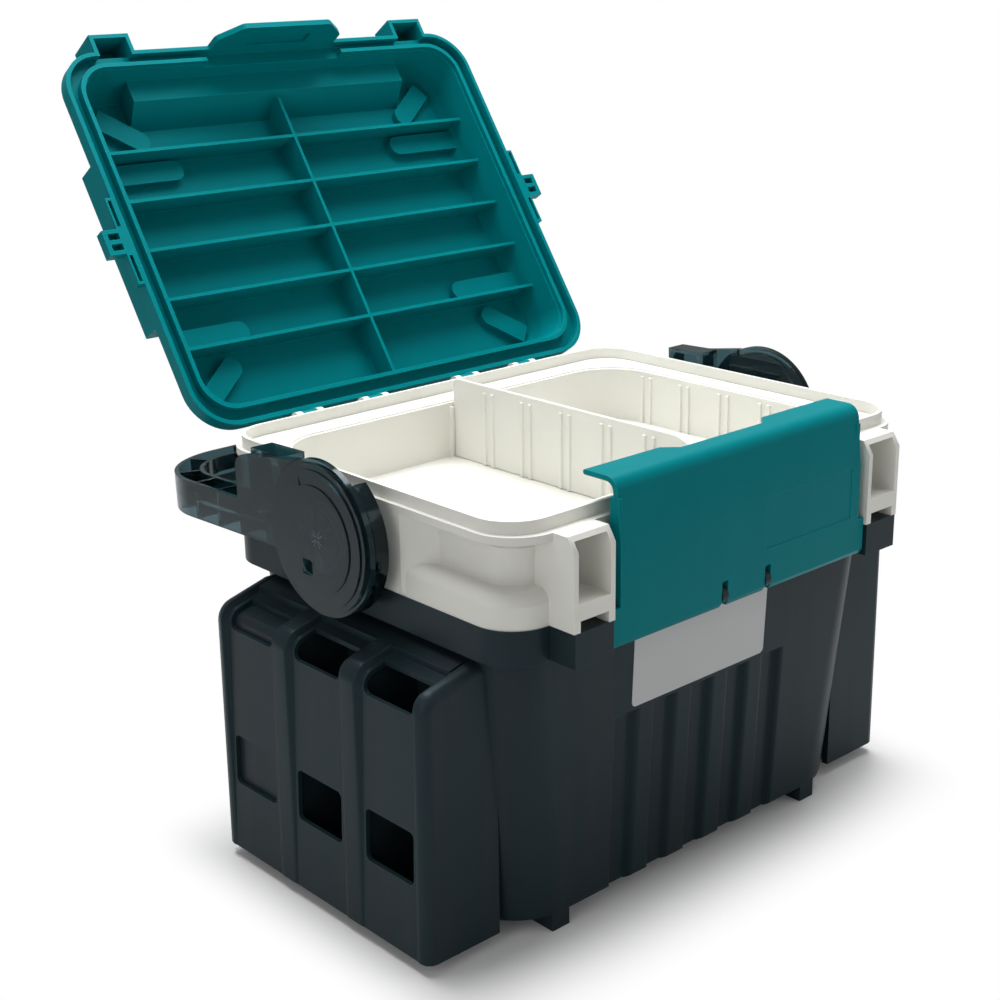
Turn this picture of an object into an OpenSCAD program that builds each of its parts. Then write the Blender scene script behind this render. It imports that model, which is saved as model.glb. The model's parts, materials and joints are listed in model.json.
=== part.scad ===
// Portable fishing tackle cabinet: a hard plastic chest with a domed seat lid,
// a lift-out tray, side holders for rods and tools, and a folding handle.
// X runs left to right, Y front to back, Z up. The lid stands open, the
// handle lies folded behind the chest and the front catch stands upright.

/* [Chest] */
// Width across the two side holders at their foot
chest_w = 443; // [432:1:460]
// Height of the feet below the side holders
foot_h = 8; // [4:0.5:14]
// Length of each foot, front to back
foot_l = 20; // [12:1:30]
// Width of each foot
foot_w = 14.6; // [10:0.2:20]
// Wall of the tub and of the side holders
tub_wall = 3; // [2:0.25:4]
// Height of the underside of the tub's collar
collar_z = 198; // [185:1:205]
// Height of the collar
collar_h = 22; // [14:1:26]
// Corner radius of the tub
tub_r = 30; // [22:1:34]
// Draft of the tub's walls from collar to floor, each side
tub_draft = 8; // [3:0.5:10]

/* [Side holders] */
// Length of a side holder, front to back
holder_l = 215; // [205:1:225]
// Number of bays in each side holder
bays = 3; // [2:1:3]
// Width of one bay
bay_w = 52; // [44:1:56]
// Distance from bay to bay
bay_pitch = 70.5; // [66:0.5:72]
// Depth of the bay panel below the ribs
bay_sink = 4; // [2:0.5:5]
// Lean of the outer wall from foot to shoulder
holder_lean = 1.5; // [0.5:0.5:8]
// Width of the windows in a bay
window_w = 46; // [30:1:47]
// Height of the lower window
window_h = 35; // [24:1:44]
// Height of the lower window's sill
window_z = 57; // [45:1:70]
// Height of the upper window's sill
top_window_z = 167; // [155:1:172]

/* [Front panel] */
// Number of flutes in the front and back walls
flutes = 5; // [3:1:5]
// Width of one flute
flute_w = 18.7; // [12:0.5:24]
// Distance from flute to flute
flute_pitch = 35.4; // [30:0.5:40]
// Depth of a flute
flute_d = 5; // [2:0.5:6]
// Height of the top of the flutes
flute_top = 133.5; // [90:0.5:136]
// Width of the bare label
label_w = 127; // [80:1:150]
// Height of the bare label
label_h = 52; // [40:1:60]
// Corner radius of the label
label_r = 3.5; // [1:0.5:6]
// Thickness of the label
label_t = 0.5; // [0.3:0.1:1]

/* [Upper frame] */
// Width of the rim that the lid closes over
rim_w = 362; // [356:1:366]
// Depth of the rim, front to back
rim_d = 280; // [276:1:284]
// Corner radius of the rim
rim_r = 28; // [24:1:32]
// Thickness of the rim's standing wall
rim_t = 2.5; // [2:0.25:3.5]
// Height of the frame's flange above the table
flange_z = 277; // [272:1:282]
// Thickness of the flange
flange_t = 5; // [3:0.5:7]
// Height of the rim above the flange
rim_h = 8; // [6:0.5:9]
// Wall of the frame
frame_wall = 3; // [2.5:0.25:4]
// Height of the frame's lower band
band_h = 22; // [16:1:26]
// Width of a corner socket
socket_w = 33; // [30:0.5:34]
// Gap between the catch and a corner socket
socket_gap = 6.5; // [6:0.5:9]
// Reach of a corner socket beyond the rim, front or back
socket_out = 22; // [20:1:24]
// Wall of a corner socket
socket_wall = 3.5; // [3:0.5:6]

/* [Tray] */
// Width that the tray's inside is short of the rim
tray_in_x = 38; // [37:1:44]
// Depth that the tray's inside is short of the rim
tray_in_y = 46; // [45:1:52]
// Corner radius inside the tray
tray_r = 38; // [30:1:44]
// Depth of the tray below the rim
tray_h = 50; // [36:1:54]
// Wall of the tray
tray_wall = 2.5; // [2:0.25:3]
// Number of rib pairs for cross dividers
rib_pairs = 5; // [3:1:5]
// Distance from rib pair to rib pair
rib_pitch = 38.7; // [34:0.5:42]
// Slot between the two ribs of a pair
rib_slot = 5; // [3:0.5:7]
// Width of one rib
rib_w = 3; // [2:0.5:4]
// Height of one rib above its wall
rib_t = 1.6; // [1:0.2:2.4]
// Thickness of the divider
divider_t = 2.6; // [2:0.2:4]
// Height of the divider above the rim
divider_up = 9; // [2:0.5:10]

/* [Lid] */
// Angle at which the lid stands open
lid_open = 124; // [95:1:126]
// Overhang of the lid beyond the rim, each side
lid_over = 3.5; // [3:0.25:6]
// Overhang of the lid in front of the rim
lid_over_front = 4; // [3.5:0.5:7]
// Overhang of the lid behind the rim
lid_over_back = 7; // [6.5:0.25:8]
// Height of the lid's hinge above the table
hinge_z = 276.2; // [275.5:0.1:277]
// Distance of the hinge behind the rim
hinge_out = 14; // [13.5:0.25:15]
// Wall of the lid
lid_wall = 3; // [2.5:0.25:3.5]
// Depth of the lid from its rim to its inside face
lid_depth = 38.5; // [34:0.5:44]
// Gap between the lid's rim and its ribs' edges
rib_drop = 18.7; // [18.5:0.1:20]
// Distance from cross rib to cross rib
lid_rib_pitch = 38.6; // [34:0.2:40]
// Thickness of the lid's ribs
lid_rib_t = 2.4; // [1.6:0.2:3]
// Play of the catch in the lid's recess, each side
recess_gap = 9; // [6:0.5:10]
// Width of the lid's hanging lip
lip_w = 114; // [80:1:118]
// Reach of the lip below the lid's rim
lip_h = 27; // [16:1:28]
// Radius of the lid's hinge pins
hinge_pin_r = 2.5; // [2:0.1:3]

/* [Catch] */
// Width of the front catch
catch_w = 226; // [210:1:227]
// Width that the catch gains below the sockets, each side
catch_foot_x = 6; // [2:0.5:6]
// Thickness of the catch's plate
catch_t = 3.2; // [2.5:0.1:4]
// Height of the catch's lower edge
catch_z = 200; // [198.5:0.5:202]
// Height of the catch's top
catch_top = 302.4; // [302:0.1:303]
// Reach of the catch's hook over the rim
hook_in = 11; // [8:0.25:11.5]
// Distance between the two hinge ears of the catch
ear_pitch = 41; // [34:1:60]
// Radius of the catch's hinge pins
catch_pin_r = 2; // [1.5:0.1:2.4]

/* [Handle] */
// Radius of the handle's hub
hub_r = 49.5; // [46:0.5:52]
// Height of the hub's centre
hub_z = 251; // [248:1:252]
// Reach of the handle behind the hub's centre
handle_reach = 204; // [200:1:210]
// Height of the handle's arm
arm_h = 24.6; // [18:0.2:26]
// Width of the handle's arm
arm_w = 20; // [16:1:21]
// Wall of the handle's arm
arm_wall = 3; // [2:0.25:4]
// Drop of the arm's middle below the hub's centre
arm_drop = 3.5; // [2:0.5:9]
// Angle by which the folded arms hang down
arm_tilt = 2; // [0:0.5:3]
// Reach of the handle's arm beyond the hub's seat
handle_out = 24; // [23.5:0.5:26]
// Outer corner radius of the handle
handle_r = 56; // [40:1:64]
// Radius of the bearing that the hub turns on
bearing_r = 19; // [16:0.5:22]
// Radius of the pivot screw
screw_r = 3; // [2:0.25:4]

/* [Hidden] */
$fn = 48;
smoke = [0.20, 0.25, 0.28];
glass = [0.17, 0.27, 0.30];
ivory = [0.93, 0.93, 0.90];
teal = [0.0, 0.47, 0.50];
steel = [0.72, 0.73, 0.74];
paper = [0.86, 0.86, 0.86];
e = 0.01;                              // overlap inside one solid
fit = 0.4;                             // gap between loose pieces
run = 0.05;                            // radial gap of a running fit

rim_z = flange_z + rim_h;              // top of the rim
frame_z = collar_z + collar_h;         // underside of the frame
collar_w = rim_w + 4;
collar_d = rim_d + 4;
holder_z = foot_h;                     // underside of the side holders
tub_z = foot_h + 2;                    // underside of the tub
tub_top_w = collar_w - 16;
tub_top_d = collar_d - 26;
tub_w = tub_top_w - 2 * tub_draft;
tub_d = tub_top_d - 2 * tub_draft;
foot_x = tub_w / 2 - 43.6;             // middle of a foot
foot_y = tub_d / 2 - foot_l / 2 - 1;
front_lean = atan(tub_draft / (collar_z - tub_z - 5));
shoulder_z = collar_z - 6;             // where a holder meets the tub
holder_top_z = shoulder_z - 12;        // outer end of the sloping shoulder
holder_top_x = chest_w / 2 - holder_lean;
holder_in_x = tub_w / 2 - tub_wall;    // inner end of a holder's section
shoulder_r = 14;
socket_y = rim_d / 2 + socket_out;
catch_foot_w = catch_w + 2 * catch_foot_x;
socket_x = catch_w / 2 + socket_gap + socket_w / 2;
tray_w = rim_w - tray_in_x;
tray_d = rim_d - tray_in_y;
hook_y = rim_d / 2 - hook_in;
tray_floor = rim_z - tray_h;
shelf_z = flange_z - 3;                // seat of the tray's flange
front_clear = hook_y - 0.6;            // the tray lifts out past the catch's hook
well_w = rim_w - 2 * rim_t;            // inside the rim's wall
well_d = rim_d - 2 * rim_t;
housing_l = 100;                       // side housing that carries a hub
housing_x = rim_w / 2 + 3;
wall_w = rim_w - 22;                   // recessed wall of the frame
wall_d = rim_d - 20;
hub_x0 = housing_x + 0.02;             // inner face of the hub base
handle_w = 2 * (housing_x + handle_out);
base_t = 12.4;
base_r = 33;
web_x = hub_x0 + base_t - 1.9;         // inner face of the guard band's web
bearing_x1 = hub_x0 + base_t + 8.4;    // outer end of the bearing
disc_x0 = hub_x0 + base_t + 0.3;       // inner face of the turning hub
disc_x1 = bearing_x1 - 0.4;
disc_t = 2.4;                          // web of the turning hub
core_r = 26;                           // core round the bearing
cover_x1 = disc_x1 + 8;
washer_t = 1.2;
boss_r = 8;
hinge_y = rim_d / 2 + hinge_out;
edge_z = hinge_z + 1.6;                // rim of the closed lid
lid_w = rim_w + 2 * lid_over;
lid_front = rim_d / 2 + lid_over_front;
lid_back = rim_d / 2 + lid_over_back;
lid_top = edge_z + lid_depth + lid_wall;
lid_mid = (lid_back - lid_front) / 2;
lid_in_w = lid_w - 27;                 // inside the lid's inner wall
lid_in_d = rim_d - 15.4;
recess_w = catch_w + 2 * recess_gap;
recess_z = catch_top - 3.4;            // floor of the lid's recess
catch_y = rim_d / 2 + 20;              // outer face of the catch
pin_y = -(catch_y - 5);                // hinge of the catch
pin_z = catch_z + 7;
ear_t = 5;
knuckle_r = 6;
hinge_x = [44, 102.5] * rim_w / 362;   // lid knuckles on each side
knuckle_l = 12;
lug_t = 5;
// span of the standing object, front to back, so that it is centred
function turned(y, z) = hinge_y + (y - hinge_y) * cos(lid_open) + (z - hinge_z) * sin(lid_open);
span_front = max(socket_y, catch_y);
span_back = max([turned(-lid_front + 10, lid_top), turned(-lid_front - 14, edge_z + 26), turned(-lid_front + 5, lid_top - 9), handle_reach]);
mid_y = (span_front - span_back) / 2;

// ---------- shared shapes ----------
module rrect(w, d, r) {
    square([w - 2 * r, d], center = true);
    square([w, d - 2 * r], center = true);
    for (x = [-1, 1], y = [-1, 1]) translate([x * (w / 2 - r), y * (d / 2 - r)]) circle(r);
}
module slab(w, d, r, z, h) translate([0, 0, z]) linear_extrude(h) rrect(w, d, r);
module block(x0, x1, y0, y1, z0, z1) translate([x0, y0, z0]) cube([x1 - x0, y1 - y0, z1 - z0]);
module xrod(r, x0, x1, y, z) translate([x0, y, z]) rotate([0, 90, 0]) cylinder(r = r, h = x1 - x0);
// a section in Y and Z, run along X
module alongx(x0, x1, pts) translate([x0, 0, 0]) rotate([90, 0, 90]) linear_extrude(x1 - x0) polygon(pts);
// a section in X and Z, run along Y
module alongy(y0, y1, pts) translate([0, y1, 0]) rotate([90, 0, 0]) linear_extrude(y1 - y0) polygon(pts);
module pairx() { children(); mirror([1, 0, 0]) children(); }
module four() { children(); mirror([1, 0, 0]) children(); mirror([0, 1, 0]) children(); mirror([1, 0, 0]) mirror([0, 1, 0]) children(); }
module centred() translate([0, mid_y, 0]) children();
module opened() translate([0, hinge_y, hinge_z]) rotate([-lid_open, 0, 0]) translate([0, -hinge_y, -hinge_z]) children();

// ---------- tub ----------
// section of a side holder, drawn in by i at the shoulder and by foot at the floor
function arc(cx, cz, r, a0, a1, n) = [for (k = [0 : n]) let (a = a0 + (a1 - a0) * k / n) [cx + r * cos(a), cz + r * sin(a)]];
slope_a = atan((shoulder_z - holder_top_z - 4) / (holder_top_x - 10 - collar_w / 2 + 3));
function section(i, foot, floor_z) = let (r = shoulder_r - i, cx = holder_top_x - shoulder_r, cz = holder_top_z - shoulder_r + 4.5) concat(
    [[holder_in_x, floor_z], [chest_w / 2 - foot, floor_z]],
    arc(cx, cz, r, 2, 90 - slope_a, 8),
    [[collar_w / 2 - 3, shoulder_z - i], [holder_in_x, shoulder_z - i]]);
bay_y = [for (k = [0 : bays - 1]) (k - (bays - 1) / 2) * bay_pitch];
module pane(x, y, z0, z1) translate([x, y, (z0 + z1) / 2]) rotate([90, 0, 90]) linear_extrude(100) rrect(window_w, z1 - z0, 4);
panel_foot = 0.5;                      // depth of the bay panel at its foot
ridge_ease = 2.5;                      // run of a ridge's sloping flank
end_ease = 7;                          // rounding of a holder's front and back edge
end_y = (bays - 1) / 2 * bay_pitch + bay_w / 2;
module ridges() {
    for (k = [1 : bays - 1]) let (y0 = bay_y[k - 1] + bay_w / 2, y1 = bay_y[k] - bay_w / 2) hull() {
        alongy(y0 + ridge_ease + 1, y1 - ridge_ease - 1, section(0, 0, holder_z));
        alongy(y0 + ridge_ease - 0.5, y1 - ridge_ease + 0.5, section(0.8, 0.2, holder_z));
        alongy(y0, y1, section(bay_sink, panel_foot, holder_z));
    }
    for (s = [0, 1]) mirror([0, s, 0]) hull() {
        alongy(end_y, end_y + 1, section(bay_sink, panel_foot, holder_z));
        alongy(end_y + ridge_ease, holder_l / 2 - end_ease, section(0, 0, holder_z));
        alongy(end_y + ridge_ease, holder_l / 2 - end_ease * 0.5, section(end_ease * 0.13, end_ease * 0.13, holder_z));
        alongy(end_y + ridge_ease, holder_l / 2 - end_ease * 0.13, section(end_ease * 0.5, end_ease * 0.5, holder_z));
        alongy(end_y + ridge_ease, holder_l / 2, section(end_ease, end_ease, holder_z));
    }
}
module side_holder(s) color(smoke) centred() mirror([s < 0 ? 1 : 0, 0, 0]) {
    difference() {
        union() {
            alongy(-end_y - 0.5, end_y + 0.5, section(bay_sink, panel_foot, holder_z));
            ridges();
            // the shoulder inside the panels stays at the ridges' height
            intersection() {
                alongy(-end_y - 0.5, end_y + 0.5, section(0, 0, holder_z));
                block(0, chest_w / 2 - 31, -end_y - 1, end_y + 1, shoulder_z - 30, shoulder_z + 1);
            }
        }
        for (y = bay_y) {
            // hollow of the bay
            intersection() {
                alongy(y - window_w / 2 - 2, y + window_w / 2 + 2, section(bay_sink + tub_wall, panel_foot + tub_wall, holder_z - 5));
                block(holder_in_x - 1, chest_w, y - bay_w, y + bay_w, holder_z + tub_wall, shoulder_z - tub_wall);
            }
            // windows
            pane(holder_top_x - 20, y, window_z, window_z + window_h);
            pane(chest_w / 2 - 23, y, top_window_z, shoulder_z + 40);
        }
        // ridges are hollow and open at the bottom
        for (k = [0 : bays]) let (y0 = max(-holder_l / 2 + tub_wall + 2, (k - (bays - 1) / 2 - 1) * bay_pitch + bay_w / 2 + tub_wall),
                                  y1 = min(holder_l / 2 - tub_wall - 2, (k - (bays - 1) / 2) * bay_pitch - bay_w / 2 - tub_wall))
            intersection() {
                alongy(y0, y1, section(tub_wall + 2, tub_wall + 2, holder_z - 5));
                block(holder_in_x - 1, chest_w, -200, 200, 0, shoulder_z - tub_wall);
            }
        // open towards the tub, and fitted to its wall
        tub_shell(-0.02, tub_z - 0.02, collar_z);
    }
}
module side_holder_left() side_holder(-1);
module side_holder_right() side_holder(1);
module tub_shell(i, z0, zt) hull() {
    slab(tub_w - 8 - 2 * i, tub_d - 8 - 2 * i, tub_r + 11, z0, e);
    slab(tub_w - 2 - 2 * i, tub_d - 2 - 2 * i, tub_r + 14 - i, z0 + 1.6, e);
    slab(tub_w - 2 * i, tub_d - 2 * i, tub_r + 15 - i, z0 + 5, e);
    slab(tub_top_w - 2 * i, tub_top_d - 2 * i, tub_r - i, zt, e);
}
module tub() color(smoke) centred() difference() {
    union() {
        tub_shell(0, tub_z, collar_z);
        slab(collar_w, collar_d, rim_r, collar_z, collar_h);
        // plinths under the corner sockets
        four() block(socket_x - socket_w / 2 + 1, socket_x + socket_w / 2 - 1, collar_d / 2 - 10, socket_y, collar_z, frame_z);
        four() block(foot_x - foot_w / 2, foot_x + foot_w / 2, foot_y - foot_l / 2, foot_y + foot_l / 2, 0, tub_z + 4);
        // ears of the catch
        for (x = [-1, 1] * ear_pitch / 2) {
            xrod(knuckle_r, x - ear_t / 2, x + ear_t / 2, pin_y, pin_z);
            block(x - ear_t / 2, x + ear_t / 2, pin_y, -collar_d / 2 + 5, pin_z - knuckle_r, pin_z + knuckle_r);
        }
    }
    difference() {
        union() {
            tub_shell(tub_wall, tub_z + tub_wall, collar_z - e);
            slab(tub_top_w - 2 * tub_wall, tub_top_d - 2 * tub_wall, tub_r - tub_wall, collar_z - 1, collar_h + 2);
            slab(collar_w - 2 * tub_wall, collar_d - 2 * tub_wall, rim_r - tub_wall, collar_z + tub_wall, collar_h);
        }
        // walls that back the flutes
        for (s = [-1, 1], k = [0 : flutes - 1]) let (x = (k - (flutes - 1) / 2) * flute_pitch)
            flute(s, x, flute_w + 2 * tub_wall, flute_d + tub_wall, flute_top + tub_wall);
    }
    for (s = [-1, 1], k = [0 : flutes - 1]) flute(s, (k - (flutes - 1) / 2) * flute_pitch, flute_w, flute_d, flute_top);
    for (x = [-1, 1] * ear_pitch / 2) xrod(catch_pin_r + run, x - ear_t, x + ear_t, pin_y, pin_z);
}
// a channel with eased edges, run up the leaning wall
module flute(s, x, w, d, top) translate([x, s * tub_d / 2, tub_z + 5]) rotate([-s * front_lean, 0, 0]) mirror([0, s > 0 ? 1 : 0, 0])
    translate([0, 0, -12]) linear_extrude(top - tub_z + 7) polygon([
        [-w / 2 - 3, -20], [-w / 2 - 3, 0], [-w / 2 - 1.2, 0.4], [-w / 2 + 0.2, 1.4], [-w / 2 + 1, 3], [-w / 2 + 1.6, d - 1.2], [-w / 2 + 2.8, d],
        [w / 2 - 2.8, d], [w / 2 - 1.6, d - 1.2], [w / 2 - 1, 3], [w / 2 - 0.2, 1.4], [w / 2 + 1.2, 0.4], [w / 2 + 3, 0], [w / 2 + 3, -20]]);

// ---------- bare label ----------
module front_label() color(paper) centred() {
    mid_z = collar_z - 10 - label_h / 2;
    translate([-4, -tub_d / 2, tub_z + 5]) rotate([front_lean, 0, 0]) translate([0, -0.02, mid_z - tub_z - 5])
        rotate([90, 0, 0]) linear_extrude(label_t) rrect(label_w, label_h, label_r);
}

// ---------- plates in the rear bays ----------
module blank(s) color(smoke) centred() mirror([s < 0 ? 1 : 0, 0, 0]) {
    y = bay_y[bays - 1];
    i = bay_sink + tub_wall + fit;
    intersection() {
        difference() {
            alongy(y - window_w / 2 - 2 + fit, y + window_w / 2 + 2 - fit, section(i, panel_foot + tub_wall + fit, holder_z - 5));
            alongy(y - bay_w, y + bay_w, section(i + 2, panel_foot + tub_wall + fit + 2, holder_z - 10));
        }
        block(max(tub_top_w / 2 + 1, chest_w / 2 - 31), chest_w, y - bay_w, y + bay_w, holder_z + tub_wall + fit, shoulder_z);
    }
}
module bay_blank_left() blank(-1);
module bay_blank_right() blank(1);

// ---------- upper frame ----------
module socket_body() {
    x0 = socket_x - socket_w / 2;
    x1 = socket_x + socket_w / 2;
    alongx(x0, x1, [[wall_d / 2 - 2, frame_z], [socket_y, frame_z], [socket_y, flange_z - 9], [socket_y - 5.6, flange_z],
                    [rim_d / 2 + 1, flange_z], [rim_d / 2 + 1, shelf_z], [wall_d / 2 - 2, shelf_z]]);
}
module socket_cut() {
    x0 = socket_x - socket_w / 2 + socket_wall;
    x1 = socket_x + socket_w / 2 - socket_wall;
    block(x0, x1, wall_d / 2 + 3, socket_y + 5, frame_z + 17, flange_z - 3);
    block(x0 + 1.5, x1 - 1.5, socket_y - 12, socket_y + 5, frame_z - 1, frame_z + 7);
}
module lid_lugs() for (x = hinge_x, s = [-1, 1]) {
    a = x + s * (knuckle_l / 2 + fit) + (s < 0 ? -lug_t : 0);
    xrod(knuckle_r, a, a + lug_t, hinge_y, hinge_z);
    block(a, a + lug_t, wall_d / 2 - 1, hinge_y, flange_z - 14, shelf_z - 1);
    block(a, a + lug_t, rim_d / 2 - rim_t + 0.5, hinge_y, hinge_z - knuckle_r, hinge_z + 0.8);
}
module upper_frame() color(ivory) centred() difference() {
    union() {
        difference() {
            union() {
                hull() {
                    slab(collar_w - 1, collar_d - 1, rim_r, frame_z, band_h - 8);
                    slab(collar_w - 3.4, collar_d - 3.4, rim_r - 1.2, frame_z + band_h - 4, e);
                    slab(collar_w - 9, collar_d - 9, rim_r - 4, frame_z + band_h - 1.2, e);
                    slab(collar_w - 17, collar_d - 17, rim_r - 8, frame_z + band_h - e, e);
                }
                // faint strip round the recessed wall
                slab(wall_w + 1.2, wall_d + 1.2, rim_r - 7.4, flange_z - 16.5, 5);
                slab(wall_w, wall_d, rim_r - 8, frame_z + e, flange_z - frame_z - 1);
                slab(rim_w + 6, rim_d + 10, rim_r + 3, flange_z - flange_t, flange_t);
                slab(rim_w, rim_d, rim_r, flange_z - e, rim_h);
                pairx() translate([0, 0, frame_z + 2]) linear_extrude(flange_z - frame_z - 2) polygon([
                    [wall_w / 2 - 4, -housing_l / 2 - 17], [wall_w / 2, -housing_l / 2 - 17], [housing_x, -housing_l / 2 + 3],
                    [housing_x, housing_l / 2 - 3], [wall_w / 2, housing_l / 2 + 17], [wall_w / 2 - 4, housing_l / 2 + 17]]);
            }
            slab(wall_w - 2 * frame_wall, wall_d - 2 * frame_wall, rim_r - 10, frame_z - 1, flange_z);
            slab(well_w, well_d, rim_r - rim_t, shelf_z, 30);
        }
        // shelf that carries the tray
        difference() {
            slab(wall_w, wall_d, rim_r - 8, flange_z - flange_t, flange_t - 3);
            slab(tray_w + 2 * tray_wall + 1, tray_d + 2 * tray_wall + 1, tray_r + tray_wall, frame_z, flange_z);
        }
        block(-well_w / 2 + 16, well_w / 2 - 16, -well_d / 2 - 1, -front_clear - fit, flange_z - flange_t, flange_z);
        four() socket_body();
        pairx() lid_lugs();
        // skirt that drops inside the collar
        difference() {
            slab(wall_w - e, wall_d - e, rim_r - 8, frame_z - 8, 9);
            slab(wall_w - 2 * frame_wall, wall_d - 2 * frame_wall, rim_r - 10, frame_z - 10, 12);
        }
    }
    four() socket_cut();
    // flange cut away behind the catch for the lid's lip
    block(-lip_w / 2 - 4, lip_w / 2 + 4, -rim_d / 2 - 12, -rim_d / 2 - 0.6, flange_z - flange_t - 1, flange_z + 1);
    for (s = [-1, 1]) block(-lip_w / 2 - 4, lip_w / 2 + 4, -rim_d / 2 - 12, -wall_d / 2 - 8, frame_z + band_h - 4, flange_z - flange_t);
    pairx() xrod(hinge_pin_r + run, hinge_x[0] - knuckle_l, hinge_x[1] + knuckle_l + 4, hinge_y, hinge_z);
    // bore for each pivot screw
    pairx() xrod(screw_r - 0.5, housing_x - 12, housing_x + 1, 0, hub_z);
}

// ---------- tray and divider ----------
module ribs(x, dir, z0, z1) for (k = [0 : rib_pairs - 1], s = [-1, 1]) {
    y = (k - (rib_pairs - 1) / 2) * rib_pitch + s * (rib_slot + rib_w) / 2;
    block(dir > 0 ? x - e : x - rib_t, dir > 0 ? x + rib_t : x + e, y - rib_w / 2, y + rib_w / 2, z0, z1);
}

module tray() color(ivory) centred() {
    difference() {
        union() {
            slab(tray_w + 2 * tray_wall, tray_d + 2 * tray_wall, tray_r + tray_wall, tray_floor - tray_wall, flange_z - tray_floor + tray_wall);
            intersection() {
                slab(well_w - 2 * fit, well_d - 2 * fit, rim_r - rim_t - fit, shelf_z + 0.02, 3 - 0.02);
                block(-well_w, well_w, -front_clear, well_d, 0, 400);
            }
        }
        slab(tray_w, tray_d, tray_r, tray_floor, tray_h + 1);
        // eased edge between flange and wall
        slab(tray_w + 3, tray_d + 3, tray_r + 1.5, flange_z - 1.2, 3);
    }
    ribs(-tray_w / 2, 1, tray_floor - e, flange_z - 5);
    ribs(tray_w / 2, -1, tray_floor - e, flange_z - 5);
    // guides that hold the divider's ends
    for (y = [-1, 1], x = [-1, 1])
        translate([x * (divider_t / 2 + fit + rib_w / 2), y * (tray_d / 2 - 1), 0]) block(-rib_w / 2, rib_w / 2, -1.4, 1.4, tray_floor - e, flange_z - 4);
}
module divider() color(ivory) centred() {
    y1 = tray_d / 2 - fit - 0.3;
    z0 = tray_floor + 0.3;
    z1 = rim_z + divider_up;
    alongx(-divider_t / 2, divider_t / 2, concat([[-y1, z0], [y1, z0]],
        arc(y1 - 6, z1 - 6, 6, 0, 90, 6),
        [[-y1 + 16, z1], [-y1 + 8, z1 - 3], [-y1 + 3, z1 - 9], [-y1, z1 - 16]]));
    ribs(divider_t / 2, 1, z0, z1 - 5);
    ribs(-divider_t / 2, -1, z0, z1 - 5);
}

// ---------- lid ----------
module lid_slab(grow, r, z, h) translate([0, lid_mid, 0]) slab(lid_w + 2 * grow, lid_front + lid_back + 2 * grow, r, z, h);
module dome(i, z0, z1) hull() {
    slab(lid_in_w + 6 - 2 * i, lid_in_d + 6 - 2 * i, rim_r - i, z0, e);
    slab(lid_in_w - 2 - 2 * i, lid_in_d - 2 - 2 * i, rim_r - 2 - i, z1 - 10, e);
    slab(lid_in_w - 16 - i, lid_in_d - 16 - i, rim_r - 8, z1 - e, e);
}
module recess(i) alongx(-recess_w / 2 + i, recess_w / 2 - i, [
    [-lid_front - 20, recess_z + i], [-lid_front + 28 - i, recess_z + i], [-lid_front + 50 - i, lid_top + 5 - i], [-lid_front - 20, lid_top + 5 - i]]);
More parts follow.
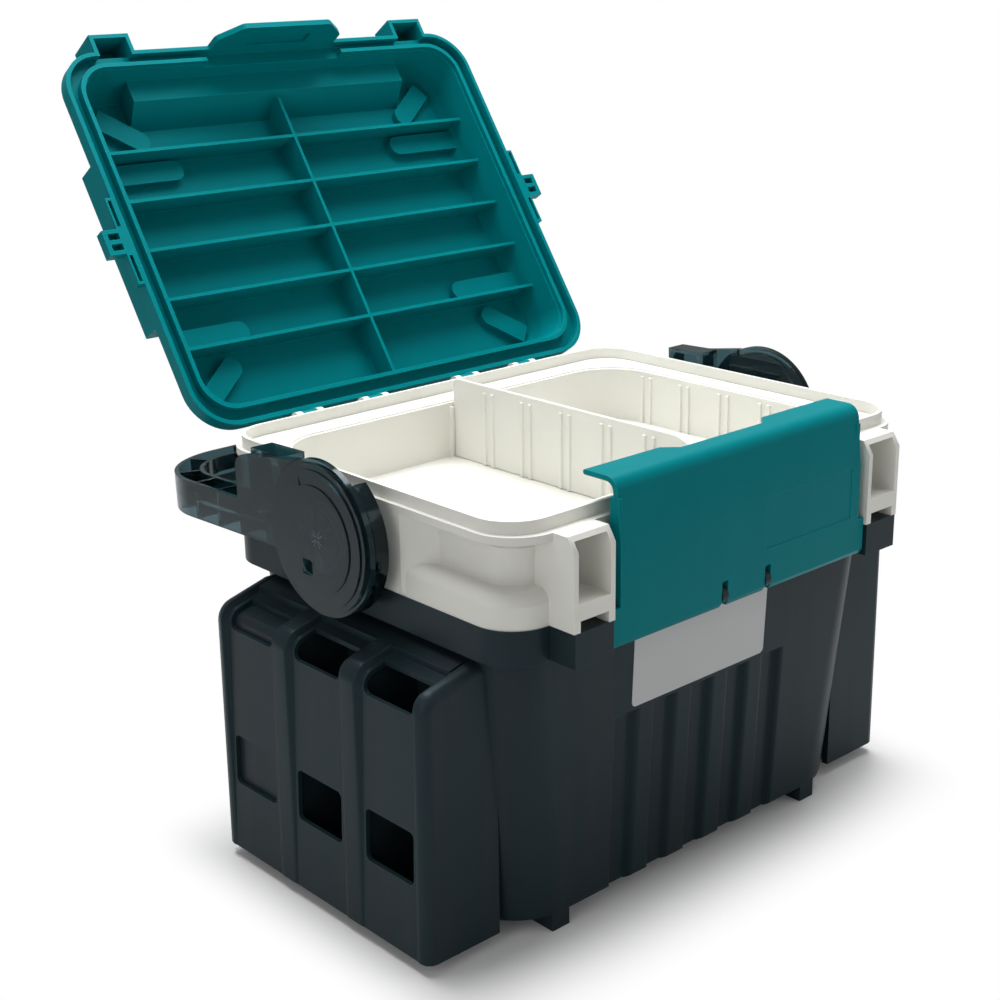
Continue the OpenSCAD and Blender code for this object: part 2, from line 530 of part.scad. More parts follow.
// raised bar with round ends on the lid's inside
module bar(x0, x1, y0, y1, r) translate([x0, y0, lid_top - lid_wall - 6]) rotate([0, 0, atan2(y1 - y0, x1 - x0)]) {
    block(0, norm([x1 - x0, y1 - y0]), -r, r, 0, 7);
    cylinder(r = r, h = 7);
}
module lid_body() {
    difference() {
        union() {
            difference() {
                union() {
                    lid_slab(0, rim_r + 3.5, edge_z, 10.2);
                    dome(0, edge_z + 2, lid_top);
                    // thickened sides that rest over the hubs
                    pairx() block(lid_in_w / 2 - 12, lid_w / 2 - 0.5, lid_mid - 63, lid_mid + 63, edge_z + 1, edge_z + 27);
                    // horns over the front sockets
                    pairx() block(socket_x - socket_w / 2 + 0.5, socket_x + socket_w / 2 - 0.5, -lid_front - 14, -lid_front + 14, edge_z, edge_z + 26);
                }
                // groove for the frame's rim
                difference() {
                    lid_slab(-lid_wall, rim_r + 0.5, edge_z - 1, 8.8);
                    difference() {
                        slab(lid_in_w + 2 * lid_wall, lid_in_d + 2 * lid_wall, rim_r - 2, edge_z + 1, 14);
                        block(-62, 62, -lid_front - 10, 0, edge_z - 1, edge_z + 7.8);
                    }
                }
                difference() {
                    dome(lid_wall, edge_z - 1, lid_top - lid_wall);
                    recess(-lid_wall);
                }
                slab(lid_in_w, lid_in_d, rim_r - 4, edge_z - 1, 6);
                pairx() block(socket_x - socket_w / 2 + 3.5, socket_x + socket_w / 2 - 3.5, -lid_front - 11, -lid_front + 1, edge_z - 1, edge_z + 23);
                // the horns open into the groove
                pairx() block(socket_x - socket_w / 2 + 3.5, socket_x + socket_w / 2 - 3.5, -lid_front - 11, -lid_front + lid_wall + 1, edge_z - 1, edge_z + 7.8);
            }
            // ribs
            intersection() {
                dome(1, edge_z - 2, lid_top - 1);
                union() {
                    for (k = [0 : 4]) let (y = 3.3 + (k - 2) * lid_rib_pitch) block(-lid_in_w / 2, lid_in_w / 2, y - lid_rib_t / 2, y + lid_rib_t / 2, edge_z + rib_drop, lid_top - 1);
                    block(-lid_rib_t / 2, lid_rib_t / 2, -107, lid_in_d / 2, edge_z + rib_drop, lid_top - 1);
                    // raised pads in the corners
                    pairx() for (s = [-1, 1]) {
                        bar(106, 166, 3.3 + s * 66, 3.3 + s * 66, 8);
                        bar(124, 152, 3.3 + s * 92, 3.3 + s * 113, 8);
                    }
                }
            }
        }
        recess(0);
    }
    // hanging lip with a pocket in its inner face
    difference() {
        translate([0, -lid_front + 3.2, 0]) rotate([90, 0, 0]) linear_extrude(4.2) polygon(concat(
            [[-lip_w / 2, edge_z + 2]],
            arc(-lip_w / 2 + 6, edge_z - lip_h + 18, 6, 180, 225, 4), arc(-lip_w / 2 + 20, edge_z - lip_h + 6, 6, 225, 270, 4),
            arc(lip_w / 2 - 20, edge_z - lip_h + 6, 6, 270, 315, 4), arc(lip_w / 2 - 6, edge_z - lip_h + 18, 6, 315, 360, 4),
            [[lip_w / 2, edge_z + 2]]));
        block(-27, 27, -lid_front + 1, -lid_front + 5, edge_z - 15, edge_z - 3);
    }
    // side lugs with two square holes, and their rails
    pairx() difference() {
        union() {
            block(lid_w / 2 - 1, lid_w / 2 + 17, lid_mid - 9.5, lid_mid + 9.5, edge_z, edge_z + 8);
            block(lid_w / 2 - 1, lid_w / 2 + 4.8, lid_mid - 33, lid_mid + 33, edge_z, edge_z + 6);
        }
        for (y = [-4, 4]) block(lid_w / 2 + 5, lid_w / 2 + 13.5, lid_mid + y - 2.4, lid_mid + y + 2.4, edge_z - 1, edge_z + 6);
        for (s = [-1, 1]) block(lid_w / 2 + 0.8, lid_w / 2 + 3.4, lid_mid + (s > 0 ? 11 : -31), lid_mid + (s > 0 ? 31 : -11), edge_z - 1, edge_z + 4.5);
    }
    // knuckles
    pairx() for (x = hinge_x) difference() {
        union() {
            xrod(knuckle_r, x - knuckle_l / 2, x + knuckle_l / 2, hinge_y, hinge_z);
            alongx(x - knuckle_l / 2, x + knuckle_l / 2, [[lid_back - 3.5, edge_z + 3.4], [lid_back - 3.5, edge_z + 8], [hinge_y, hinge_z + knuckle_r - 0.2], [hinge_y + 5.6, hinge_z + 1], [lid_back + 1.5, edge_z + 0.4], [lid_back - 1, edge_z + 0.4]]);
        }
        xrod(hinge_pin_r + run, x - knuckle_l, x + knuckle_l, hinge_y, hinge_z);
    }
}
module lid() color(teal) centred() opened() lid_body();
module hinge_pin(s) color(steel) centred() {
    a = hinge_x[0] - knuckle_l / 2 - lug_t - 1;
    b = hinge_x[1] + knuckle_l / 2 + lug_t + 1;
    xrod(hinge_pin_r, s > 0 ? a : -b, s > 0 ? b : -a, hinge_y, hinge_z);
}
module hinge_pin_left() hinge_pin(-1);
module hinge_pin_right() hinge_pin(1);

// ---------- front catch ----------
module catch_panel() color(teal) centred() difference() {
    union() {
        // plate: upright below, leaning back above the crease, hooked at the top
        intersection() {
            alongx(-catch_foot_w / 2, catch_foot_w / 2, concat(
                [[-catch_y, catch_z + 3], [-catch_y + 2, catch_z], [-catch_y + 2 + catch_t, catch_z], [-catch_y + catch_t, catch_z + 4],
                 [-catch_y + catch_t, 262]],
                arc(-catch_y + 12.4, catch_top - 9, 9 - catch_t, 176, 90, 6),
                arc(-hook_y - catch_t / 2, catch_top - catch_t / 2, catch_t / 2, -90, 90, 6),
                arc(-catch_y + 12.4, catch_top - 9, 9, 90, 176, 8),
                [[-catch_y, 262]]));
            union() {
                block(-catch_w / 2, catch_w / 2, -2 * catch_y, 0, catch_z - 1, catch_top + 1);
                block(-catch_foot_w / 2, catch_foot_w / 2, -2 * catch_y, 0, catch_z - 1, frame_z + 5);
            }
        }
        // side cheeks that stiffen the plate
        for (s = [-1, 1]) block(s * (catch_w / 2 - 1.5) - 1.5, s * (catch_w / 2 - 1.5) + 1.5, -catch_y + 2, -catch_y + 9, frame_z + 8, catch_top - 12);
        // hinge bosses behind the plate
        for (x = [-1, 1] * ear_pitch / 2, s = [-1, 1]) {
            a = x + s * (ear_t / 2 + fit) + (s < 0 ? -8 : 0);
            xrod(5, a, a + 8, pin_y, pin_z);
            block(a, a + 8, -catch_y + 1, pin_y, pin_z - 5, pin_z + 5);
        }
    }
    // set back in the middle of the hook
    linear_extrude(400) polygon([[-52, -hook_y + 1], [-40, -hook_y - 10], [36, -hook_y - 10], [48, -hook_y + 1], [48, 0], [-52, 0]]);
    // slots for the ears
    for (x = [-1, 1] * ear_pitch / 2) block(x - ear_t / 2 - fit, x + ear_t / 2 + fit, -catch_y - 2, pin_y + knuckle_r + 1, catch_z - 2, catch_z + 17);
    for (x = [-1, 1] * ear_pitch / 2) xrod(catch_pin_r + run, x - 14, x + 14, pin_y, pin_z);
    // bare sunk field where a name would go
    block(17, 104, -catch_y - 1, -catch_y + 0.4, 228, 262);
}
module catch_pin(s) color(steel) centred() {
    x = s * ear_pitch / 2;
    xrod(catch_pin_r, x - ear_t / 2 - 8, x + ear_t / 2 + 8, pin_y, pin_z);
}
module catch_pin_left() catch_pin(-1);
module catch_pin_right() catch_pin(1);

// ---------- handle ----------
arm_z0 = hub_z - arm_drop - arm_h / 2;
arm_z1 = arm_z0 + arm_h;
module handle_plan(i) {
    w = handle_w - 2 * i;
    back = handle_reach - i;
    r = handle_r - i;
    translate([-w / 2, -10]) square([w, back + 10 - r]);
    translate([-w / 2 + r, 0]) square([w - 2 * r, back]);
    for (x = [-1, 1]) translate([x * (w / 2 - r), back - r]) circle(r);
}
module tilted() translate([0, 0, hub_z]) rotate([-arm_tilt, 0, 0]) translate([0, 0, -hub_z]) children();
module carry_handle() color(glass) centred() tilted() difference() {
    union() {
        // bow with its two walls, a web half way and cross walls
        difference() {
            translate([0, 0, arm_z0]) linear_extrude(arm_h) handle_plan(0);
            translate([0, 0, arm_z0 - 1]) linear_extrude(arm_h + 2) handle_plan(arm_w);
            block(-300, 300, -20, base_r + 4, arm_z0 - 1, arm_z1 + 1);
            for (z = [[arm_z0 - 1, arm_z0 + arm_h / 2 - 1.2], [arm_z0 + arm_h / 2 + 1.2, arm_z1 + 1]]) difference() {
                translate([0, 0, z[0]]) linear_extrude(z[1] - z[0]) difference() { handle_plan(arm_wall); handle_plan(arm_w - arm_wall); }
                block(-300, 300, -20, 62, 0, 400);
                for (y = [88, 114, 140]) block(-300, 300, y - 1.2, y + 1.2, 0, 400);
                for (x = [-135 : 30 : 135]) block(x - 1.2, x + 1.2, handle_reach - arm_w - 1, 300, 0, 400);
                pairx() for (a = [25, 65]) translate([handle_w / 2 - handle_r, handle_reach - handle_r, 0]) rotate([0, 0, a]) block(handle_r - arm_w, 100, -1.2, 1.2, 0, 400);
            }
        }
        pairx() {
            // outer plate of the shoulder
            alongx(disc_x1 - disc_t + 0.6, handle_w / 2, concat([[20, arm_z0 + 1.5], [60, arm_z0 + 0.5], [88, arm_z0 + 0.5]],
                arc(77, hub_z + 28, 11, 0, 90, 6), [[58, hub_z + 41], [20, hub_z + 46]]));
            // clip on its inner side
            difference() {
                block(housing_x + 2.4, disc_x1 - disc_t + 1, 41, 76, arm_z1 - 6, hub_z + 43);
                block(housing_x, disc_x1 - disc_t - 1, 44, 73, arm_z1 + 2, hub_z + 40);
            }
            // turning hub
            xrod(hub_r - 4, disc_x1 - disc_t, disc_x1, 0, hub_z);
            xrod(core_r, disc_x0, disc_x1, 0, hub_z);
        }
    }
    pairx() {
        xrod(bearing_r + run, disc_x0 - 1, disc_x1 + 1, 0, hub_z);
        // room for the cover
        xrod(hub_r + 0.4, disc_x1 - 0.02, 300, 0, hub_z);
    }
}
module hub_cover(s) color(glass) centred() mirror([s < 0 ? 1 : 0, 0, 0]) difference() {
    union() {
        xrod(hub_r, disc_x1 + 0.2, disc_x1 + 4, 0, hub_z);
        xrod(hub_r - 2.4, disc_x1 + 4 - e, disc_x1 + 6.2, 0, hub_z);
        xrod(hub_r - 6, disc_x1 + 6.2 - e, cover_x1 - 0.8, 0, hub_z);
        xrod(34, cover_x1 - 1, cover_x1, 0, hub_z);
    }
    // hollow over the washer, with a ring and spokes on the cover's inner face
    difference() {
        xrod(hub_r - 9, disc_x1 - 1, cover_x1 - 3, 0, hub_z);
        difference() {
            xrod(21, cover_x1 - 4.2, cover_x1, 0, hub_z);
            xrod(19.4, 0, 300, 0, hub_z);
        }
        for (a = [0 : 30 : 150]) translate([0, 0, hub_z]) rotate([a, 0, 0]) block(cover_x1 - 3.8, cover_x1, -0.6, 0.6, -19.6, 19.6);
    }
    translate([0, 8.4, hub_z - 19.4]) block(100, 300, -5, 5, -5, 5);
}
module hub_cover_left() hub_cover(-1);
module hub_cover_right() hub_cover(1);
module hub_base(s) color(glass) centred() mirror([s < 0 ? 1 : 0, 0, 0]) difference() {
    union() {
        // plate behind the hub, cut off below the lid's rim
        difference() {
            xrod(base_r, hub_x0, hub_x0 + base_t, 0, hub_z);
            block(0, 300, -80, 80, flange_z + 0.2, 400);
        }
        // guard band round the front and the bottom, where a raised handle stops
        difference() {
            xrod(hub_r, web_x, disc_x1 - 0.4, 0, hub_z);
            xrod(hub_r - 3, hub_x0 + base_t, 300, 0, hub_z);
            alongx(0, 300, [[-hub_r * 0.83, hub_z + hub_r * 1.1], [0, hub_z], [hub_r * 0.36, hub_z - hub_r * 1.2], [120, hub_z - 80], [120, hub_z + 80]]);
            for (a = [98, 116]) translate([0, 0, hub_z]) rotate([a, 0, 0]) block(disc_x1 - disc_t - 2, 300, -3, 3, 0, 90);
        }
        xrod(bearing_r, hub_x0, bearing_x1, 0, hub_z);
    }
    difference() {
        xrod(bearing_r - 3, hub_x0 + base_t, bearing_x1 + 1, 0, hub_z);
        xrod(boss_r, 0, 300, 0, hub_z);
    }
    xrod(screw_r, hub_x0 - 1, bearing_x1 + 1, 0, hub_z);
}
module hub_base_left() hub_base(-1);
module hub_base_right() hub_base(1);
module hub_washer(s) color(steel) centred() mirror([s < 0 ? 1 : 0, 0, 0]) difference() {
    xrod(bearing_r + 4, bearing_x1 + 0.02, bearing_x1 + washer_t, 0, hub_z);
    xrod(screw_r + 0.2, 0, 300, 0, hub_z);
}
module hub_washer_left() hub_washer(-1);
module hub_washer_right() hub_washer(1);
module pivot_screw(s) color(steel) centred() mirror([s < 0 ? 1 : 0, 0, 0]) difference() {
    union() {
        xrod(screw_r - 0.02, hub_x0 + 0.02, bearing_x1 + washer_t + 0.5, 0, hub_z);
        xrod(screw_r - 0.52, housing_x - 11, hub_x0 + 0.03, 0, hub_z);
        xrod(screw_r * 2, bearing_x1 + washer_t + 0.02, bearing_x1 + washer_t + 2.6, 0, hub_z);
    }
    for (a = [0, 90]) translate([0, 0, hub_z]) rotate([a, 0, 0]) block(bearing_x1 + washer_t + 1.2, 300, -0.6, 0.6, -screw_r * 1.3, screw_r * 1.3);
}
module pivot_screw_left() pivot_screw(-1);
module pivot_screw_right() pivot_screw(1);

tub();
upper_frame();
tray();
divider();
lid();
hinge_pin_left();
hinge_pin_right();
catch_panel();
catch_pin_left();
catch_pin_right();
carry_handle();
hub_base_left();
hub_base_right();
hub_cover_left();
hub_cover_right();
hub_washer_left();
hub_washer_right();
pivot_screw_left();
pivot_screw_right();
side_holder_left();
side_holder_right();
bay_blank_left();
bay_blank_right();
front_label();
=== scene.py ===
# Fishing tackle chest: lid open, handle folded behind, catch upright.
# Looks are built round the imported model; every length is in metres.
import json
import math

import bmesh
import bpy
from mathutils import Matrix, Vector


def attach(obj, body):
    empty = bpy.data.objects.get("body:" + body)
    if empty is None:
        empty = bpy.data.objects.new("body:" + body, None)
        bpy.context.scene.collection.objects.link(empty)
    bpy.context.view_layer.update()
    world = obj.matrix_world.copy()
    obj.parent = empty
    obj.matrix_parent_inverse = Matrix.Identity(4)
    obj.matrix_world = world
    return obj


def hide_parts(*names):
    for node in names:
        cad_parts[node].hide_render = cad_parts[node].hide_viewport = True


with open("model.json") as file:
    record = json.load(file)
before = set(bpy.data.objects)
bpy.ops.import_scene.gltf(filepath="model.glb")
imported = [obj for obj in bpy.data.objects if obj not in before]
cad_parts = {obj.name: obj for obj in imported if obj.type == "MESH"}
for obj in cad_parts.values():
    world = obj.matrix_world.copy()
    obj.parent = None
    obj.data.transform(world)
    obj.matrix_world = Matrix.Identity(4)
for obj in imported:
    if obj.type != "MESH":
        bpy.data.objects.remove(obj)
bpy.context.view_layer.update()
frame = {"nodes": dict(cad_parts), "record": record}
nodes = frame["nodes"]
slotOf = {part["node"]: part["material_slot"] for part in frame["record"]["subparts"]}
bodies = frame["record"]["behaviour"]["bodies"]
bodyOf = {node: body for body, group in bodies.items() for node in group}
print("loaded", len(nodes), "nodes")

# camera, as the photograph was taken
photoCamera = {
    "place": (-0.7712, -0.8850, 0.5880),
    "azimuth": -41.917,
    "elevation": 18.056,
    "roll": -0.924,
    "lens": 60.90,
    "sensor": 36.0,
    "near": 0.05,
    "far": 30,
}


def makeCamera(p):
    a, e, r = (math.radians(p[k]) for k in ("azimuth", "elevation", "roll"))
    back = Vector((math.sin(a) * math.cos(e), -math.cos(a) * math.cos(e), math.sin(e)))
    right = (-back).cross(Vector((0, 0, 1))).normalized()
    up = right.cross(-back)
    right, up = math.cos(r) * right + math.sin(r) * up, math.cos(r) * up - math.sin(r) * right
    data = bpy.data.cameras.new("photoCamera")
    data.lens, data.sensor_width = p["lens"], p["sensor"]
    data.clip_start, data.clip_end = p["near"], p["far"]
    cam = bpy.data.objects.new("photoCamera", data)
    turn = Matrix((right, up, back)).transposed().to_4x4()
    cam.matrix_world = Matrix.Translation(p["place"]) @ turn
    bpy.context.scene.collection.objects.link(cam)
    bpy.context.scene.camera = cam


makeCamera(photoCamera)


def addNode(tree, kind, feeds, **settings):
    # a feed is the socket that an input is linked to, or the input's fixed value
    node = tree.nodes.new("ShaderNode" + kind)
    for key, value in settings.items():
        setattr(node, key, value)
    for plug, feed in feeds.items():
        if isinstance(feed, bpy.types.NodeSocket):
            tree.links.new(feed, node.inputs[plug])
        else:
            node.inputs[plug].default_value = feed
    return node


# moulded skin, one node group for all finishes
skin = {
    "cloudSize": 9, "cloudDetail": 3,
    "streakStretch": (1, 1, 0.06), "streakSize": 55, "streakDetail": 2, "streakFrom": 0.42, "streakTo": 0.68,
    "edgeSamples": 4, "edgeFlat": 0.995, "edgeFull": 0.90, "edgeBreakSize": 160,
    "glossVary": 0.10,
    "grainDetail": 2, "grainDepth": 0.0004,
}
# the edge tint is painted light: lighter than Tint it paints a highlight on edges, darker than Tint it
# paints edge shade
skinPlugs = {
    "Tint": (0.5, 0.5, 0.5, 1), "Tint Light": (0.6, 0.6, 0.6, 1), "Painted Edge Tint": (0.7, 0.7, 0.7, 1),
    "Painted Edge Mix": 0.8, "Tint Flow": (0.5, 0.5, 0.5, 1), "Flow Mix": 0.0, "Edge Size": 0.001,
    "Rough": 0.4, "Grain Size": 900.0, "Grain": 0.1,
}


def makeSkin(p):
    tree = bpy.data.node_groups.new("mouldSkin", "ShaderNodeTree")
    for name, value in skinPlugs.items():
        kind = "NodeSocketColor" if isinstance(value, tuple) else "NodeSocketFloat"
        plug = tree.interface.new_socket(name=name, in_out="INPUT", socket_type=kind)
        plug.default_value = value
    for name, kind in (("Color", "Color"), ("Roughness", "Float"), ("Normal", "Vector")):
        tree.interface.new_socket(name=name, in_out="OUTPUT", socket_type="NodeSocket" + kind)
    given, out = tree.nodes.new("NodeGroupInput").outputs, tree.nodes.new("NodeGroupOutput").inputs
    link = tree.links.new
    spot = addNode(tree, "TexCoord", {}).outputs["Object"]

    # slow cloudy tint
    cloud = addNode(tree, "TexNoise", {
        "Vector": spot, "Scale": p["cloudSize"], "Detail": p["cloudDetail"],
    }).outputs["Fac"]
    clouded = addNode(tree, "Mix", {
        "Factor": cloud, "A": given["Tint"], "B": given["Tint Light"],
    }, data_type="RGBA").outputs["Result"]

    # flow marks: upright streaks where the melt ran down the mould
    drawn = addNode(tree, "Mapping", {"Vector": spot, "Scale": p["streakStretch"]}).outputs["Vector"]
    streak = addNode(tree, "TexNoise", {
        "Vector": drawn, "Scale": p["streakSize"], "Detail": p["streakDetail"],
    }).outputs["Fac"]
    bands = addNode(tree, "MapRange", {
        "Value": streak, "From Min": p["streakFrom"], "From Max": p["streakTo"],
    }).outputs["Result"]
    flowing = addNode(tree, "Math", {0: bands, 1: given["Flow Mix"]}, operation="MULTIPLY").outputs[0]
    flowed = addNode(tree, "Mix", {
        "Factor": flowing, "A": clouded, "B": given["Tint Flow"],
    }, data_type="RGBA").outputs["Result"]

    # painted edge light: edges tinted lighter as a painted highlight (darker as painted shade on the clear
    # smoke), by how far a rounded normal leans from the true one, broken up by noise
    rounded = addNode(tree, "Bevel", {"Radius": given["Edge Size"]}, samples=p["edgeSamples"])
    face = addNode(tree, "NewGeometry", {})
    lean = addNode(tree, "VectorMath", {
        0: rounded.outputs["Normal"], 1: face.outputs["Normal"],
    }, operation="DOT_PRODUCT").outputs["Value"]
    near = addNode(tree, "MapRange", {
        "Value": lean, "From Min": p["edgeFlat"], "From Max": p["edgeFull"],
    }).outputs["Result"]
    edgeBreak = addNode(tree, "TexNoise", {"Vector": spot, "Scale": p["edgeBreakSize"]}).outputs["Fac"]
    brokenEdgeMask = addNode(tree, "Math", {0: near, 1: edgeBreak}, operation="MULTIPLY").outputs[0]
    paintedEdgeAmount = addNode(tree, "Math", {
        0: brokenEdgeMask, 1: given["Painted Edge Mix"],
    }, operation="MULTIPLY", use_clamp=True).outputs[0]
    edged = addNode(tree, "Mix", {
        "Factor": paintedEdgeAmount, "A": flowed, "B": given["Painted Edge Tint"],
    }, data_type="RGBA").outputs["Result"]
    link(edged, out["Color"])

    # slightly uneven gloss
    gloss = addNode(tree, "Math", {
        0: cloud, 1: p["glossVary"], 2: given["Rough"],
    }, operation="MULTIPLY_ADD").outputs[0]
    link(gloss, out["Roughness"])

    # fine spark-eroded grain
    grain = addNode(tree, "TexNoise", {
        "Vector": spot, "Scale": given["Grain Size"], "Detail": p["grainDetail"],
    }).outputs["Fac"]
    bump = addNode(tree, "Bump", {"Strength": given["Grain"], "Distance": p["grainDepth"], "Height": grain})
    link(bump.outputs["Normal"], out["Normal"])
    return tree


mouldSkin = makeSkin(skin)

# finishes: what feeds the skin, and what is set on the shader itself
# edge tints: painted edge highlights on the smoke, ivory, teal, steel and label finishes, painted edge shade
# on the clear smoke
finishes = {
    "smokeShell": {
        "skin": {
            "Tint": (0.0125, 0.0245, 0.0290, 1), "Tint Light": (0.0180, 0.0310, 0.0355, 1),
            "Painted Edge Tint": (0.014, 0.052, 0.066, 1), "Painted Edge Mix": 1.30, "Edge Size": 0.0014,
            "Tint Flow": (0.0270, 0.0285, 0.0360, 1), "Flow Mix": 0.55,
            "Rough": 0.28, "Grain Size": 900, "Grain": 0.10,
        },
        "shader": {"Specular IOR Level": 0.17, "Specular Tint": (0.70, 0.92, 1.0, 1)},
    },
    "ivoryShell": {
        "skin": {
            "Tint": (0.785, 0.780, 0.725, 1), "Tint Light": (0.815, 0.81, 0.76, 1),
            "Painted Edge Tint": (0.86, 0.86, 0.83, 1), "Painted Edge Mix": 0.70, "Edge Size": 0.0010,
            "Rough": 0.38, "Grain Size": 1100, "Grain": 0.05,
        },
        "shader": {
            "Specular IOR Level": 0.40,
            "Subsurface Weight": 0.08, "Subsurface Radius": (0.004, 0.004, 0.003),
        },
    },
    "tealShell": {
        "skin": {
            "Tint": (0.0, 0.168, 0.190, 1), "Tint Light": (0.0, 0.192, 0.214, 1),
            "Painted Edge Tint": (0.0, 0.33, 0.36, 1), "Painted Edge Mix": 1.00, "Edge Size": 0.0012,
            "Tint Flow": (0.004, 0.21, 0.23, 1), "Flow Mix": 0.15,
            "Rough": 0.34, "Grain Size": 1000, "Grain": 0.10,
        },
        "shader": {"Specular IOR Level": 0.12, "Specular Tint": (0.06, 0.90, 1.0, 1)},
    },
    "clearSmoke": {
        "skin": {
            "Tint": (0.040, 0.088, 0.102, 1), "Tint Light": (0.050, 0.102, 0.118, 1),
            "Painted Edge Tint": (0.02, 0.05, 0.065, 1), "Painted Edge Mix": 0.60, "Edge Size": 0.0010,
            "Rough": 0.04, "Grain Size": 500, "Grain": 0.0,
        },
        "shader": {
            "Specular IOR Level": 0.16, "Specular Tint": (0.80, 0.95, 1.0, 1),
            "Transmission Weight": 0.94, "IOR": 1.40,
        },
    },
    "steelPin": {
        "skin": {
            "Tint": (0.56, 0.56, 0.57, 1), "Tint Light": (0.66, 0.66, 0.67, 1),
            "Painted Edge Tint": (0.75, 0.75, 0.76, 1), "Painted Edge Mix": 0.80, "Edge Size": 0.0003,
            "Rough": 0.28, "Grain Size": 2500, "Grain": 0.05,
        },
        "shader": {"Specular IOR Level": 0.5, "Metallic": 1.0},
    },
    "bareLabel": {
        "skin": {
            "Tint": (0.56, 0.565, 0.57, 1), "Tint Light": (0.60, 0.605, 0.61, 1),
            "Painted Edge Tint": (0.66, 0.66, 0.66, 1), "Painted Edge Mix": 0.60, "Edge Size": 0.0003,
            "Rough": 0.45, "Grain Size": 1500, "Grain": 0.03,
        },
        "shader": {"Specular IOR Level": 0.35},
    },
}
slotFinish = {
    "smoke_shell": "smokeShell", "ivory_shell": "ivoryShell", "teal_shell": "tealShell",
    "clear_smoke": "clearSmoke", "steel": "steelPin", "bare_label": "bareLabel",
}
plasticIor = 1.49


def makeFinish(name, p):
    m = bpy.data.materials.new(name)
    m.use_nodes = True
    shader = m.node_tree.nodes["Principled BSDF"]
    group = m.node_tree.nodes.new("ShaderNodeGroup")
    group.node_tree = mouldSkin
    for plug, value in p["skin"].items():
        group.inputs[plug].default_value = value
    for made, plug in (("Color", "Base Color"), ("Roughness", "Roughness"), ("Normal", "Normal")):
        m.node_tree.links.new(group.outputs[made], shader.inputs[plug])
    shader.inputs["IOR"].default_value = plasticIor
    for plug, value in p["shader"].items():
        shader.inputs[plug].default_value = value
    return m


finish = {name: makeFinish(name, p) for name, p in finishes.items()}
for node, obj in nodes.items():
    obj.data.materials.clear()
    obj.data.materials.append(finish[slotFinish[slotOf[node]]])
print("finishes made", len(finish))

# moulded shells: the solids with their edges eased as they leave a mould
easing = {"weld": 2e-6, "flat": 0.4, "sharp": 32}
easedShells = {
    "tub": {"edge": 0.0014, "steps": 2},
    "side_holder_left": {"edge": 0.0012, "steps": 2},
    "side_holder_right": {"edge": 0.0012, "steps": 2},
    "hub_washer_left": {"edge": 0.0003, "steps": 2},
    "hub_washer_right": {"edge": 0.0003, "steps": 2},
    "upper_frame": {"edge": 0.0011, "steps": 2},
    "tray": {"edge": 0.0007, "steps": 2},
    "divider": {"edge": 0.0006, "steps": 2},
    "lid": {"edge": 0.0009, "steps": 2},
    "catch_panel": {"edge": 0.0013, "steps": 3},
    "carry_handle": {"edge": 0.0011, "steps": 2},
    "hub_cover_left": {"edge": 0.0008, "steps": 3},
    "hub_cover_right": {"edge": 0.0008, "steps": 3},
    "hub_base_left": {"edge": 0.0007, "steps": 2},
    "hub_base_right": {"edge": 0.0007, "steps": 2},
    "bay_blank_left": {"edge": 0.0005, "steps": 2},
    "bay_blank_right": {"edge": 0.0005, "steps": 2},
}


def easeShell(node, p):
    sharp = math.radians(easing["sharp"])
    mesh = nodes[node].data.copy()
    bm = bmesh.new()
    bm.from_mesh(mesh)
    bmesh.ops.remove_doubles(bm, verts=bm.verts, dist=easing["weld"])
    bmesh.ops.dissolve_limit(bm, angle_limit=math.radians(easing["flat"]), verts=bm.verts, edges=bm.edges)
    for f in bm.faces:
        f.smooth = True
    bm.to_mesh(mesh)
    bm.free()
    obj = bpy.data.objects.new(node + "_eased", mesh)
    bpy.context.scene.collection.objects.link(obj)
    bevel = obj.modifiers.new("ease", "BEVEL")
    bevel.width, bevel.segments = p["edge"], p["steps"]
    bevel.limit_method, bevel.angle_limit = "ANGLE", sharp
    bevel.use_clamp_overlap = True
    mesh.set_sharp_from_angle(angle=sharp)
    normals = obj.modifiers.new("weight", "WEIGHTED_NORMAL")
    normals.keep_sharp = True
    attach(obj, bodyOf[node])
    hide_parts(node)


for node, p in easedShells.items():
    easeShell(node, p)
print("shells eased", len(easedShells))

# floor, lights and world
white = (1, 1, 1, 1)
worldLight = 0.25
floorSheet = {
    "size": 14, "drop": 0.0003, "rough": 0.32, "specular": 0.25,
    "tone": 0.93, "bounceTone": 0.62,
    "footing": (0, -0.105, 0), "halfFooting": (0.2215, 0.108, 0), "fadeShare": (1.35, 0.72, 0),
    "clearFrom": -0.006, "clearTo": 0.062,
}
lamps = {
    "topSoft": {"place": (0.15, 0.25, 1.7), "aim": (0, -0.05, 0.2), "size": (1.5, 1.3), "power": 45},
    "leftSoft": {"place": (-2.0, -0.6, 0.9), "aim": (0, 0, 0.25), "size": (1.0, 1.6), "power": 6.5},
    "rightSoft": {"place": (1.2, -1.9, 0.9), "aim": (0, 0, 0.2), "size": (1.2, 1.4), "power": 5.5},
}


def seenMask(tree):
    # 1 where the camera looks, straight or through clear plastic
    rays = addNode(tree, "LightPath", {}).outputs
    seen = addNode(tree, "Math", {
        0: rays["Is Camera Ray"], 1: rays["Is Transmission Ray"],
    }, operation="MAXIMUM")
    return seen.outputs[0]


def makeWorld(light):
    world = bpy.data.worlds.new("studioWorld")
    bpy.context.scene.world = world
    world.use_nodes = True
    tree = world.node_tree
    sky = tree.nodes["Background"]
    sky.inputs["Color"].default_value = white
    sky.inputs["Strength"].default_value = light
    blank = addNode(tree, "Background", {"Color": white})
    mix = addNode(tree, "MixShader", {0: seenMask(tree), 1: sky.outputs[0], 2: blank.outputs[0]})
    tree.links.new(mix.outputs[0], tree.nodes["World Output"].inputs["Surface"])


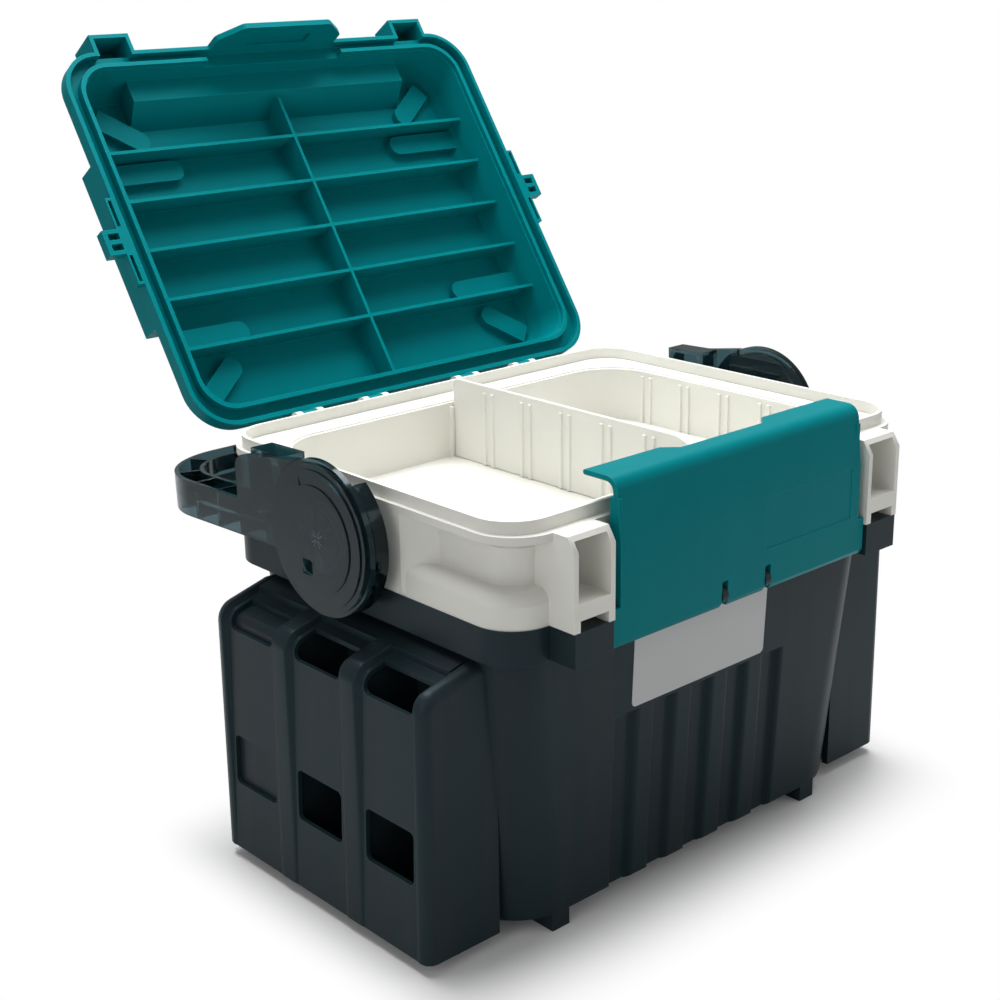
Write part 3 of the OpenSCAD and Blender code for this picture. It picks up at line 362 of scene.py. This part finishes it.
def makeFloor(p):
    # lit floor close to the chest for its shadow, fading to plain white for the camera further out
    bpy.ops.mesh.primitive_plane_add(size=p["size"], location=(0, 0, -p["drop"]))
    floor = bpy.context.object
    floor.name = "studioFloor"
    m = bpy.data.materials.new("studioFloor")
    m.use_nodes = True
    tree = m.node_tree
    lit = tree.nodes["Principled BSDF"]
    lit.inputs["Roughness"].default_value = p["rough"]
    lit.inputs["Specular IOR Level"].default_value = p["specular"]
    # paler to the camera than in the light that it throws back up
    tone = addNode(tree, "MapRange", {
        "Value": seenMask(tree), "To Min": p["bounceTone"], "To Max": p["tone"],
    })
    tree.links.new(tone.outputs["Result"], lit.inputs["Base Color"])
    # distance from the rectangle that the chest stands over
    place = addNode(tree, "TexCoord", {}).outputs["Object"]
    for step, feeds in (
        ("SUBTRACT", {1: p["footing"]}), ("ABSOLUTE", {}), ("SUBTRACT", {1: p["halfFooting"]}),
        ("MAXIMUM", {1: (0, 0, 0)}), ("MULTIPLY", {1: p["fadeShare"]}),
    ):
        place = addNode(tree, "VectorMath", {0: place, **feeds}, operation=step).outputs["Vector"]
    away = addNode(tree, "VectorMath", {0: place}, operation="LENGTH").outputs["Value"]
    clear = addNode(tree, "MapRange", {
        "Value": away, "From Min": p["clearFrom"], "From Max": p["clearTo"],
    }, interpolation_type="SMOOTHSTEP")
    amount = addNode(tree, "Math", {0: clear.outputs["Result"], 1: seenMask(tree)}, operation="MULTIPLY")
    blank = addNode(tree, "Emission", {})
    mix = addNode(tree, "MixShader", {0: amount.outputs[0], 1: lit.outputs[0], 2: blank.outputs[0]})
    tree.links.new(mix.outputs[0], tree.nodes["Material Output"].inputs["Surface"])
    floor.data.materials.append(m)


def makeLamp(name, p):
    data = bpy.data.lights.new(name, "AREA")
    data.shape, data.size, data.size_y = "RECTANGLE", *p["size"]
    data.energy = p["power"]
    obj = bpy.data.objects.new(name, data)
    obj.location = p["place"]
    aim = Vector(p["aim"]) - Vector(p["place"])
    obj.rotation_euler = aim.to_track_quat("-Z", "Y").to_euler()
    bpy.context.scene.collection.objects.link(obj)


makeWorld(worldLight)
makeFloor(floorSheet)
for name, p in lamps.items():
    makeLamp(name, p)
bpy.context.scene.view_settings.view_transform = "Standard"
print("studio set")
